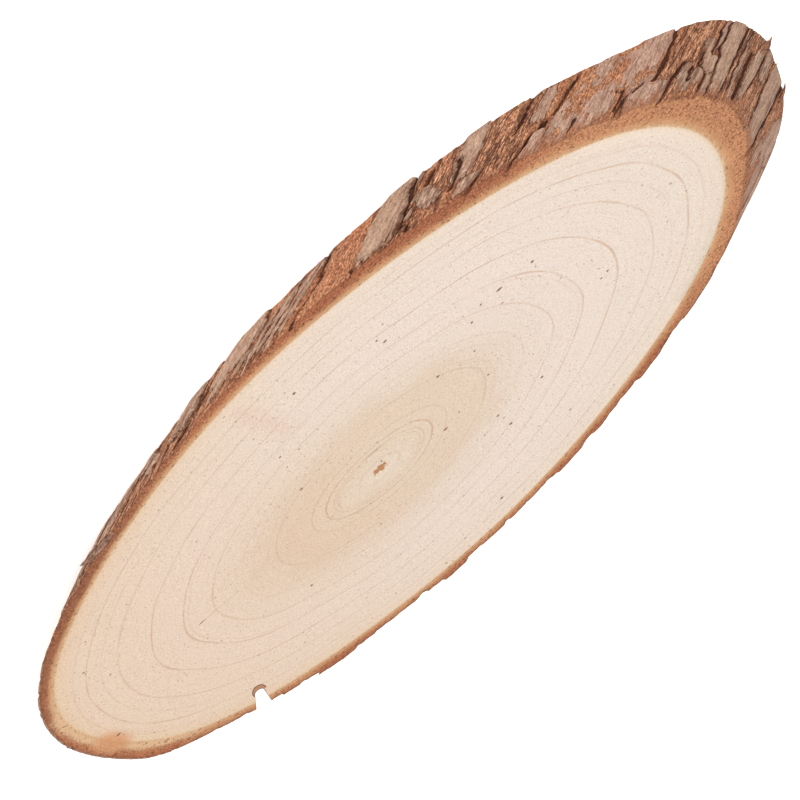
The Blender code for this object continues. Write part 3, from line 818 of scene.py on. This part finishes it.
def scatteredFlecks(tree, spacing, radius, share, strength):
    # one fleck in some of the cells of a Voronoi pattern on the sawn face
    flat = addNode(tree, "TexCoord").outputs["Object"]
    size = (1 / (mm * wood["fleckDraw"]), 1 / mm, 1 / mm)
    flat = addNode(tree, "VectorMath", (flat, size), operation="MULTIPLY")
    cells = addNode(tree, "TexVoronoi", {"Vector": flat, "Scale": 1 / spacing}, voronoi_dimensions="2D")
    chance = addNode(tree, "SeparateColor", (cells.outputs["Color"],))
    smallest, largest = 0.5 * radius / spacing, 1.3 * radius / spacing
    reach = addNode(tree, "MapRange", (chance.outputs[1], 0.0, 1.0, smallest, largest))
    inside = addNode(tree, "Math", (cells.outputs["Distance"], reach), operation="DIVIDE")
    inside = addNode(tree, "MapRange", (inside, 0.5, 1.2, strength, 0.0), **smooth)
    chosen = addNode(tree, "Math", (chance.outputs[0], share), operation="LESS_THAN")
    return addNode(tree, "Math", (inside, chosen), operation="MULTIPLY")


def ovalSpot(tree, square, middle, halfSizes, solid, degrees=0.0):
    # 1 inside an oval square to the grain, 0 outside; solid is the share of its reach before it fades
    turn = (0.0, 0.0, math.radians(degrees))
    away = addNode(tree, "Mapping", (square, middle, turn, (*halfSizes, 1.0)), vector_type="TEXTURE")
    away = addNode(tree, "VectorMath", (away,), operation="LENGTH")
    return addNode(tree, "MapRange", (away, solid, 1.0, 1.0, 0.0), **smooth)


def rimStain(tree, square):
    # an orange spot on the rim, in the wood and in the inner bark
    spot = wood["stainSpot"]
    middle = ringPoint(spot["degrees"], spot["share"])
    return ovalSpot(tree, square, middle, spot["halfSizes"], 0.3, spot["degrees"])


def standingFlecks(tree, square):
    flecks = None
    for degrees, share, halfLength, halfWidth in wood["flecks"]:
        halfSizes = (1.2 * halfLength / stretch, 1.2 * halfWidth)
        one = ovalSpot(tree, square, ringPoint(degrees, share), halfSizes, 0.5)
        flecks = one if flecks is None else addNode(tree, "Math", (flecks, one), operation="MAXIMUM")
    return addNode(tree, "Math", (flecks, 0.9), operation="MULTIPLY")


def rayLine(tree, square, degrees, shares, halfWidth, strength):
    # strongest on a line out from the pith, between two ring shares
    ray = ringPoint(degrees, 1.0).normalized()
    side = Vector((-ray.y, ray.x, 0.0))
    out = addNode(tree, "VectorMath", (square, ray), operation="DOT_PRODUCT")
    across = addNode(tree, "VectorMath", (square, side), operation="DOT_PRODUCT")
    line = lineAt(tree, across, 0.0, halfWidth, strength)
    start, end = (ringPoint(degrees, share).length for share in shares)
    for low, high in ((start, start + 2), (end, end - 2)):
        part = addNode(tree, "MapRange", (out, low, high), **smooth)
        line = addNode(tree, "Math", (line, part), operation="MULTIPLY")
    return line


def notchRim(tree, colour):
    # the bark of a dead twig, grown in: a brown crescent with dark edges over the notch's end
    place = addNode(tree, "TexCoord").outputs["Object"]
    reaches = []
    opening = (notch["x"], notch["y"], notch["halfWidth"], notch["reach"])
    for x, y, halfWidth, halfHeight in (notch["crescent"], opening):
        middle = pith + Vector((x, y, 0.0)) * mm
        sizes = (halfWidth * mm, halfHeight * mm, 1.0)
        away = addNode(tree, "Mapping", (place, middle, (0, 0, 0), sizes), vector_type="TEXTURE")
        away = addNode(tree, "VectorMath", (away, (1, 1, 0)), operation="MULTIPLY")
        reaches.append(addNode(tree, "VectorMath", (away,), operation="LENGTH"))
    out, hole = reaches
    axes = addNode(tree, "SeparateXYZ", (away,))
    inner = addNode(tree, "MapRange", (axes.outputs[1], -0.1, -0.35), **smooth)
    body = addNode(tree, "MapRange", (out, 0.94, 1.0, 1.0, 0.0), **smooth)
    body = addNode(tree, "Math", (body, inner), operation="MULTIPLY")
    uneven = addNode(tree, "Mix", (grain(tree, place, 0.4 * mm, 1.0), *notch["twigBark"]), **inColour)
    colour = addNode(tree, "Mix", (body, colour, uneven), **inColour)
    for reach, at, where in ((out, 0.95, inner), (hole, 1.06, body)):
        edge = lineAt(tree, reach, at, 0.12, 0.85, 0.03)
        edge = addNode(tree, "Math", (edge, where), operation="MULTIPLY")
        colour = addNode(tree, "Mix", (edge, colour, notch["twigEdge"]), **inColour)
    return colour


def woodMaterial():
    material, tree = newMaterial("bareSawnWood")
    place = stemPoint(tree)
    square = addNode(tree, "VectorMath", (place, (1, 1, 0)), operation="MULTIPLY")
    share = ringShare(tree, strayRings(tree, square))

    # the tone by ring, with an uneven edge to the heart, painted shade that darkens the face towards the +X
    # end, and a yellower rim
    blotch = grain(tree, place, *wood["blotch"])
    uneven = addNode(tree, "MapRange", (blotch, 0.2, 0.8, -0.06, 0.06))
    tone = addNode(tree, "Math", (share, uneven), operation="ADD")
    tone = addNode(tree, "Math", (tone, 0.9), operation="MINIMUM")
    rimShare = addNode(tree, "Attribute", attribute_name="rimShare").outputs["Fac"]
    rimTone = addNode(tree, "MapRange", (rimShare, 0.9, 1.0, 0.9, 1.0))
    rimPart = addNode(tree, "Math", (rimShare, 0.9), operation="GREATER_THAN")
    rimTone = addNode(tree, "Math", (rimTone, rimPart), operation="MULTIPLY")
    tone = addNode(tree, "Math", (tone, rimTone), operation="MAXIMUM")
    colour = rampColours(addNode(tree, "ValToRGB", (tone,)), wood["colours"])
    along = addNode(tree, "SeparateXYZ", (square,)).outputs[0]
    farEndShade = addNode(tree, "MapRange", (along, -30.0, 50.0), **smooth)
    colour = addNode(tree, "Mix", (farEndShade, colour, wood["farEndShade"]), blend_type="MULTIPLY", **inColour)
    yellow = addNode(tree, "MapRange", (along, -10.0, 30.0, 0.0, 0.2), **smooth)
    nearRim = addNode(tree, "MapRange", (rimShare, 0.93, 0.99), **smooth)
    yellow = addNode(tree, "Math", (yellow, nearRim), operation="MULTIPLY")
    colour = addNode(tree, "Mix", (yellow, colour, wood["yellow"]), **inColour)

    # late-wood lines, which wander a little and are stronger and fainter along their run
    wander = grain(tree, place, *wood["wander"])
    wander = addNode(tree, "MapRange", (wander, 0.2, 0.8, -0.009, 0.009))
    ringPlace = addNode(tree, "Math", (share, wander), operation="ADD")
    strong = grain(tree, place, *wood["strong"])
    strong = addNode(tree, "MapRange", (strong, 0.35, 0.65, 0.5, 1.15), **smooth)
    lines = addNode(tree, "Math", (ringLines(tree, ringPlace), strong), operation="MULTIPLY")
    colour = addNode(tree, "Mix", (lines, colour, wood["lateWood"]), **inColour)
    # finer lines run with them; real ones are about 0.1 mm apart, and these are wider apart, to show
    way = addNode(tree, "VectorMath", (square,), operation="NORMALIZE")
    way = addNode(tree, "VectorMath", (way, 4.0), operation="SCALE")
    across = addNode(tree, "Math", (ringPlace, stem["radius"] / wood["fineGap"]), operation="MULTIPLY")
    wound = addNode(tree, "VectorMath", (way, addNode(tree, "CombineXYZ", (across,))), operation="ADD")
    fine = addNode(tree, "TexNoise", {"Vector": wound, "Scale": 1.0, "Detail": 2.0})
    fine = addNode(tree, "MapRange", (fine, 0.5, 0.7, 0.0, 0.1), **smooth)
    colour = addNode(tree, "Mix", (fine, colour, wood["lateWood"]), **inColour)

    # a dark check along a ring, and a fine crack along a ray
    onRing = lineAt(tree, ringPlace, *wood["checkLine"])
    spot = wood["checkSpot"]
    check = ovalSpot(tree, square, ringPoint(spot["degrees"], spot["share"]), spot["halfSizes"], 0.2)
    check = addNode(tree, "Math", (check, onRing), operation="MULTIPLY")
    colour = addNode(tree, "Mix", (check, colour, wood["fleck"]), **inColour)
    crack = rayLine(tree, square, *wood["crackRay"])
    colour = addNode(tree, "Mix", (crack, colour, wood["fleck"]), **inColour)
    # a pinkish streak to the rim, and an orange stain at it
    streak = rayLine(tree, square, *wood["streakRay"])
    colour = addNode(tree, "Mix", (streak, colour, wood["streak"]), **inColour)
    colour = addNode(tree, "Mix", (rimStain(tree, square), colour, wood["stain"]), **inColour)

    # flecks, in crowds
    crowd = grain(tree, place, *wood["crowd"])
    crowd = addNode(tree, "MapRange", (crowd, 0.35, 0.6, 0.25, 1.0), **smooth)
    for one in wood["scatter"]:
        some = addNode(tree, "Math", (scatteredFlecks(tree, *one), crowd), operation="MULTIPLY")
        colour = addNode(tree, "Mix", (some, colour, wood["fleck"]), **inColour)
    colour = addNode(tree, "Mix", (standingFlecks(tree, square), colour, wood["fleck"]), **inColour)

    # the pith: a soft brown spot with a ragged edge
    ragged = addNode(tree, "MapRange", (grain(tree, place, *wood["ragged"]), 0.25, 0.75, -0.6, 0.6))
    away = addNode(tree, "VectorMath", (square,), operation="LENGTH")
    away = addNode(tree, "Math", (away, ragged), operation="ADD")
    radius = wood["pithRadius"]
    pithSpot = addNode(tree, "MapRange", (away, 0.8 * radius, radius, 1.0, 0.0), **smooth)
    colour = addNode(tree, "Mix", (pithSpot, colour, wood["pith"]), **inColour)
    colour = notchRim(tree, colour)

    # the fibres' ends catch the light unevenly
    ends = grain(tree, place, *wood["ends"])
    value = addNode(tree, "MapRange", (ends, 0.25, 0.75, 0.85, 1.15))
    colour = addNode(tree, "HueSaturation", {"Value": value, "Color": colour})
    bump = addNode(tree, "Bump", {"Strength": 0.15, "Distance": 0.2 * mm, "Height": ends})
    finishMaterial(tree, {"Base Color": colour, "Roughness": wood["roughness"], "Normal": bump,
                          "Specular IOR Level": 0.35})
    return material


# Dry bark of a young broadleaf stem, never treated: matt, an orange-brown ground, thin grey-tan plates,
# stringy brown stretches and near-black cracks. Shade is painted into its cracks, grooves and hollows and
# round its plates. Its sawn band is tan, and gritty with cork and bast
barkLook = {
    "ground": ((0.34, "#8F5237"), (0.45, "#AB6C4A"), (0.55, "#B97C58"), (0.68, "#CB9670")),
    "strings": ((0.32, "#824F38"), (0.44, "#AC7051"), (0.55, "#C28966"), (0.68, "#D5A785")),
    "plateTan": ((0.32, "#8B6953"), (0.45, "#AE8A73"), (0.56, "#BB9881"), (0.7, "#CFB099")),
    "platePink": ((0.32, "#8E6856"), (0.45, "#B28A76"), (0.56, "#C49E8B"), (0.7, "#DFC1B0")),
    # the sawn band by its share of six mm from the wood
    "sawn": ((0.0, "#F0CFAA"), (0.03, "#E4B98F"), (0.08, "#D9A77C"), (0.15, "#D6A178"), (0.22, "#D1986E"),
             (0.3, "#CA8E65"), (0.4, "#C2805A"), (0.52, "#B87351"), (1.0, "#B06A49")),
    "sawnReach": 6.0,
    # dark brown: the painted shadow round plates, painted shade in the mesh's grooves, and the fine dark
    # lines
    "outline": "#54301F",
    # near-black inside cracks: the bark's own dark there, deepened as painted shade
    "crack": "#33190F",
    # also the colour of the painted shade in the skin's hollows
    "crackSideAndShade": "#7F4730",
    "sawnEdge": "#7E4A33",
    "seamDots": "#AE7B52",
    # stretches of the band with their own tone: colour, middle in degrees, the cosines of the angles from it
    # where it starts and where it is full, its strength, and the mm from the wood where it starts and is full
    "stretches": (
        ("#D89B70", 185, (0.57, 0.82), 0.75, (0.6, 1.4)),
        ("#EBC39A", 8, (0.84, 0.94), 0.8, (2.0, 1.3)),
        ("#A4684A", 320, (0.84, 0.95), 0.85, (0.5, 1.6)),
    ),
    "paleGrit": "#D2A98A",
    # uneven grain: size square to the stem in mm, how many times longer it is along it, detail, roughness
    "grit": (0.36, 2.4, 1.0, 0.5),
    "fibre": (0.6, 10.0, 3.0, 0.65),
    "mottle": (2.0, 2.5, 4.0, 0.65),
    "patch": (6.0, 2.5, 2.0, 0.5),
    # dark hair lines: size and length of their noise, width as a share of its range, strength
    "hairLines": ((1.7, 9.0, 0.045, 0.85), (0.9, 6.0, 0.05, 0.55)),
}


def darkLines(tree, place, size, along, width, strength):
    # dark hair lines along the grain, where smooth noise crosses its middle value
    return lineAt(tree, grain(tree, place, size, along), 0.5, width, strength, 0.3 * width)


def barkMaterial():
    material, tree = newMaterial("dryBark")
    place = stemPoint(tree)
    read = {name: addNode(tree, "Attribute", attribute_name=name).outputs["Fac"]
            for name in ("plateEdge", "crackEdge", "tint", "groove", "hollowShade", "under", "fromWood",
                         "down", "fibrous", "scaly")}
    names = ("grit", "fibre", "mottle", "patch")
    grit, fibre, mottle, patch = (grain(tree, place, *barkLook[name]) for name in names)
    tone = addNode(tree, "Mix", (0.5, mottle, fibre))

    # the ground, with its stringy stretches
    colour = rampColours(addNode(tree, "ValToRGB", (tone,)), barkLook["ground"])
    strings = rampColours(addNode(tree, "ValToRGB", (fibre,)), barkLook["strings"])
    bare = addNode(tree, "MapRange", (patch, 0.35, 0.65, -0.25, 0.4))
    bare = addNode(tree, "Math", (read["fibrous"], bare), operation="ADD", use_clamp=True)
    colour = addNode(tree, "Mix", (bare, colour, strings), **inColour)
    # the bits of grit that catch the light are paler as well as brighter
    pale = addNode(tree, "MapRange", (grit, 0.5, 0.64, 0.0, 0.22), **smooth)
    colour = addNode(tree, "Mix", (pale, colour, barkLook["paleGrit"]), **inColour)

    # the plates, pinker or more tan, with a painted shadow line round their edges; in the scaly stretch bits
    # of skin are missing
    tan = rampColours(addNode(tree, "ValToRGB", (tone,)), barkLook["plateTan"])
    pink = rampColours(addNode(tree, "ValToRGB", (tone,)), barkLook["platePink"])
    hue = addNode(tree, "MapRange", (patch, 0.3, 0.7, -0.4, 0.4))
    hue = addNode(tree, "Math", (read["tint"], hue), operation="ADD")
    hue = addNode(tree, "MapRange", (hue, -0.9, 0.3), **smooth)
    plate = addNode(tree, "Mix", (hue, pink, tan), **inColour)
    edge = addNode(tree, "MapRange", (fibre, 0.3, 0.7, -0.25, 0.25))
    edge = addNode(tree, "Math", (edge, read["plateEdge"]), operation="ADD")
    missing = addNode(tree, "MapRange", (mottle, 0.42, 0.6, -1.2, 1.3))
    missing = addNode(tree, "Math", (missing, read["scaly"]), operation="MULTIPLY")
    edge = addNode(tree, "Math", (edge, missing), operation="SUBTRACT")
    skin = addNode(tree, "MapRange", (edge, -0.04, 0.08), **smooth)
    colour = addNode(tree, "Mix", (skin, colour, plate), **inColour)
    # the dark line round each plate's edge is painted shadow, for the step where it rises from the ground
    outline = lineAt(tree, edge, -0.08, 0.17, 0.85)
    colour = addNode(tree, "Mix", (outline, colour, barkLook["outline"]), **inColour)

    # fine dark lines along the grain, fewer on the plates, and painted shade in the grooves of the mesh
    fewer = addNode(tree, "MapRange", (skin, 0.0, 1.0, 1.0, 0.75))
    where = addNode(tree, "MapRange", (bare, 0.0, 0.7, 0.35, 1.0), **smooth)
    coarse, fine = (darkLines(tree, place, *one) for one in barkLook["hairLines"])
    line = addNode(tree, "Math", (coarse, fine), operation="MAXIMUM")
    line = addNode(tree, "Math", (line, where), operation="MULTIPLY")
    line = addNode(tree, "Math", (line, fewer), operation="MULTIPLY")
    # painted shade in the grooves that the mesh has cut
    groove = addNode(tree, "MapRange", (read["groove"], 0.45, 0.95, 0.0, 0.75), **smooth)
    line = addNode(tree, "Math", (line, groove), operation="MAXIMUM")
    colour = addNode(tree, "Mix", (line, colour, barkLook["outline"]), **inColour)

    # cracks, near-black inside, partly their own dark and partly painted shade, and reddish along their
    # sides; then painted shade in the skin's hollows
    crack = addNode(tree, "MapRange", (fibre, 0.3, 0.7, -0.25, 0.25))
    crack = addNode(tree, "Math", (read["crackEdge"], crack), operation="ADD")
    side = addNode(tree, "MapRange", (crack, -0.4, -0.1, 0.0, 0.35), **smooth)
    colour = addNode(tree, "Mix", (side, colour, barkLook["crackSideAndShade"]), **inColour)
    inside = addNode(tree, "MapRange", (crack, -0.08, 0.04, 0.0, 0.95), **smooth)
    colour = addNode(tree, "Mix", (inside, colour, barkLook["crack"]), **inColour)
    # painted shade in the skin's hollows, in the same reddish brown as a crack's sides
    hollowShade = addNode(tree, "MapRange", (read["hollowShade"], 0.25, 0.9, 0.0, 0.25), **smooth)
    colour = addNode(tree, "Mix", (hollowShade, colour, barkLook["crackSideAndShade"]), **inColour)

    # the sawn band, which runs over on to the side where the two meet at a blunt edge
    sawn = sawnBand(tree, place, read, grit, fibre, patch)
    ragged = addNode(tree, "MapRange", (tone, 0.35, 0.65, -0.16, 0.16))
    ragged = addNode(tree, "Math", (read["down"], ragged), operation="ADD")
    worn = addNode(tree, "MapRange", (ragged, 0.16, 0.04, 0.0, 0.7), **smooth)
    blunt = addNode(tree, "MapRange", (addNode(tree, "SeparateXYZ", (place,)), -20.0, -45.0), **smooth)
    worn = addNode(tree, "Math", (worn, blunt), operation="MULTIPLY")
    band = addNode(tree, "MapRange", (read["under"], 0.1, 0.4), **smooth)
    band = addNode(tree, "Math", (band, worn), operation="MAXIMUM")
    colour = addNode(tree, "Mix", (band, colour, sawn), **inColour)

    # grit over all of it, less on the plates; real grit is finer, and this is as coarse as it needs to show
    value = addNode(tree, "MapRange", (grit, 0.3, 0.7, 0.42, 1.42))
    even = addNode(tree, "Math", (skin, 0.45), operation="MULTIPLY")
    inner = addNode(tree, "MapRange", (read["fromWood"], 0.4, 2.4, 0.85, 0.2), **smooth)
    inner = addNode(tree, "Math", (inner, band), operation="MULTIPLY")
    even = addNode(tree, "Math", (even, inner), operation="MAXIMUM")
    value = addNode(tree, "Mix", (even, value, 1.0))
    colour = addNode(tree, "HueSaturation", {"Value": value, "Color": colour})
    height = addNode(tree, "Mix", (0.35, fibre, grit))
    height = addNode(tree, "Mix", (0.2, height, mottle))
    height = addNode(tree, "Math", (height, line), operation="SUBTRACT")
    bump = addNode(tree, "Bump", {"Strength": 0.55, "Distance": 0.5 * mm, "Height": height})
    rough = addNode(tree, "MapRange", (mottle, 0.3, 0.7, 0.78, 0.95))
    finishMaterial(tree, {"Base Color": colour, "Roughness": rough, "Normal": bump,
                          "Specular IOR Level": 0.25})
    return material


def sawnBand(tree, place, read, grit, fibre, patch):
    # cream by the wood, then tan and browner outwards, and dark at its edge
    square = addNode(tree, "VectorMath", (place, (1, 1, 0)), operation="MULTIPLY")
    uneven = addNode(tree, "MapRange", (patch, 0.3, 0.7, 0.8, 1.25))
    depth = addNode(tree, "Math", (read["fromWood"], uneven), operation="MULTIPLY")
    frayed = addNode(tree, "MapRange", (fibre, 0.3, 0.7, -0.25, 0.25))
    depth = addNode(tree, "Math", (depth, frayed), operation="ADD")
    share = addNode(tree, "Math", (depth, barkLook["sawnReach"]), operation="DIVIDE")
    colour = rampColours(addNode(tree, "ValToRGB", (share,)), barkLook["sawn"])
    ray = addNode(tree, "VectorMath", (square,), operation="NORMALIZE")
    for tone, degrees, (start, full), strength, (near, far) in barkLook["stretches"]:
        way = ringPoint(degrees, 1.0).normalized()
        here = addNode(tree, "VectorMath", (ray, way), operation="DOT_PRODUCT")
        here = addNode(tree, "MapRange", (here.outputs["Value"], start, full, 0.0, strength), **smooth)
        deep = addNode(tree, "MapRange", (depth, near, far), **smooth)
        here = addNode(tree, "Math", (here, deep), operation="MULTIPLY")
        colour = addNode(tree, "Mix", (here, colour, tone), **inColour)
    outer = addNode(tree, "Math", (read["under"], frayed), operation="SUBTRACT")
    outer = addNode(tree, "MapRange", (outer, 0.7, 0.2, 0.0, 0.55), **smooth)
    colour = addNode(tree, "Mix", (outer, colour, barkLook["sawnEdge"]), **inColour)
    # torn fibres, bits of cork, and a dotted line where the wood was growing
    torn = addNode(tree, "MapRange", (fibre, 0.46, 0.38, 0.0, 0.7), **smooth)
    outwards = addNode(tree, "MapRange", (depth, 0.8, 1.8), **smooth)
    torn = addNode(tree, "Math", (torn, outwards), operation="MULTIPLY")
    colour = addNode(tree, "Mix", (torn, colour, barkLook["sawnEdge"]), **inColour)
    bits = addNode(tree, "MapRange", (grain(tree, place, 1.1, 1.5), 0.62, 0.68, 0.0, 0.6), **smooth)
    colour = addNode(tree, "Mix", (bits, colour, barkLook["sawnEdge"]), **inColour)
    dots = addNode(tree, "MapRange", (grit, 0.6, 0.42, 0.0, 0.32), **smooth)
    near = addNode(tree, "MapRange", (read["fromWood"], 0.2, 0.5, 1.0, 0.0), **smooth)
    dots = addNode(tree, "Math", (dots, near), operation="MULTIPLY")
    colour = addNode(tree, "Mix", (dots, colour, barkLook["seamDots"]), **inColour)
    return addNode(tree, "Mix", (rimStain(tree, square), colour, wood["stain"]), **inColour)


# Floor, light and camera
studio = {
    "floor": "#F7F6F4",
    "floorHalf": 3.0,  # in metres, as are the lamp's size and place
    "floorGap": 0.05,  # mm under the slice
    "glow": 0.6,
    "world": 0.77,
    "key": 7.7,
    "keySize": 0.9,
    "keyPlace": (-0.35, -1.0, 1.05),
}


def makeStudio():
    mesh = bpy.data.meshes.new("floor")
    half = studio["floorHalf"]
    below = -studio["floorGap"] * mm
    mesh.from_pydata([(-half, -half, below), (half, -half, below), (half, half, below), (-half, half, below)],
                     [], [(0, 1, 2, 3)])
    floor = placeObject("floor", mesh)
    material, tree = newMaterial("paleFloor")
    finishMaterial(tree, {"Base Color": hexColour(studio["floor"]), "Roughness": 0.7,
                          "Emission Color": (1.0, 1.0, 1.0, 1.0), "Emission Strength": studio["glow"]})
    mesh.materials.append(material)

    world = bpy.data.worlds.new("studio")
    world.use_nodes = True
    back = world.node_tree.nodes["Background"]
    back.inputs["Color"].default_value = (1.0, 1.0, 1.0, 1.0)
    back.inputs["Strength"].default_value = studio["world"]
    bpy.context.scene.world = world

    light = bpy.data.lights.new("key", "AREA")
    light.shape = "DISK"
    light.size = studio["keySize"]
    light.energy = studio["key"]
    lamp = placeObject("key", light)
    lamp.location = studio["keyPlace"]
    lamp.rotation_euler = (-lamp.location).to_track_quat("-Z", "Y").to_euler()


# The camera looks down at the slice from its long side, rolled so that the oval lies across the picture
view = {
    "polar": math.radians(47.16),  # from straight up
    "roll": math.radians(222.30),
    "distance": 750.0,
    "lens": 112.5,
    "sensor": 36.0,
    "pithPixel": (380.0, 469.0),
    "image": 800.0,
}


def makeCamera():
    cosine, sine = math.cos(view["polar"]), math.sin(view["polar"])
    flat = Vector((1, 0, 0))
    tall = Vector((0, cosine, sine))
    back = Vector((0, -sine, cosine))
    right = math.cos(view["roll"]) * flat - math.sin(view["roll"]) * tall
    up = math.sin(view["roll"]) * flat + math.cos(view["roll"]) * tall
    lens = bpy.data.cameras.new("camera")
    lens.sensor_width = view["sensor"]
    lens.lens = view["lens"]
    lens.shift_x = (0.5 * view["image"] - view["pithPixel"][0]) / view["image"]
    lens.shift_y = (view["pithPixel"][1] - 0.5 * view["image"]) / view["image"]
    lens.clip_start = 0.01
    camera = placeObject("camera", lens)
    turned = Matrix((right, up, back)).transposed().to_4x4()
    camera.matrix_world = Matrix.Translation(pith + back * view["distance"] * mm) @ turned
    bpy.context.scene.camera = camera


makeCamera()
makeStudio()
bpy.context.scene.view_settings.view_transform = "Standard"
print("camera, floor and light are in place")

woodPiece = makeDisc()
woodPiece.data.materials.append(woodMaterial())
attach(woodPiece, "root")
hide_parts("wood")
print("disc:", len(woodPiece.data.polygons), "faces")

barkPiece = makeBark()
dryBark = barkMaterial()
barkPiece.data.materials.append(dryBark)
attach(barkPiece, "root")
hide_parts("bark")
print("bark:", len(barkPiece.data.polygons), "faces")

flakePiece = makeFlakes()
flakePiece.data.materials.append(dryBark)
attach(flakePiece, "root")
print("flakes:", len(flakePiece.data.polygons), "faces")
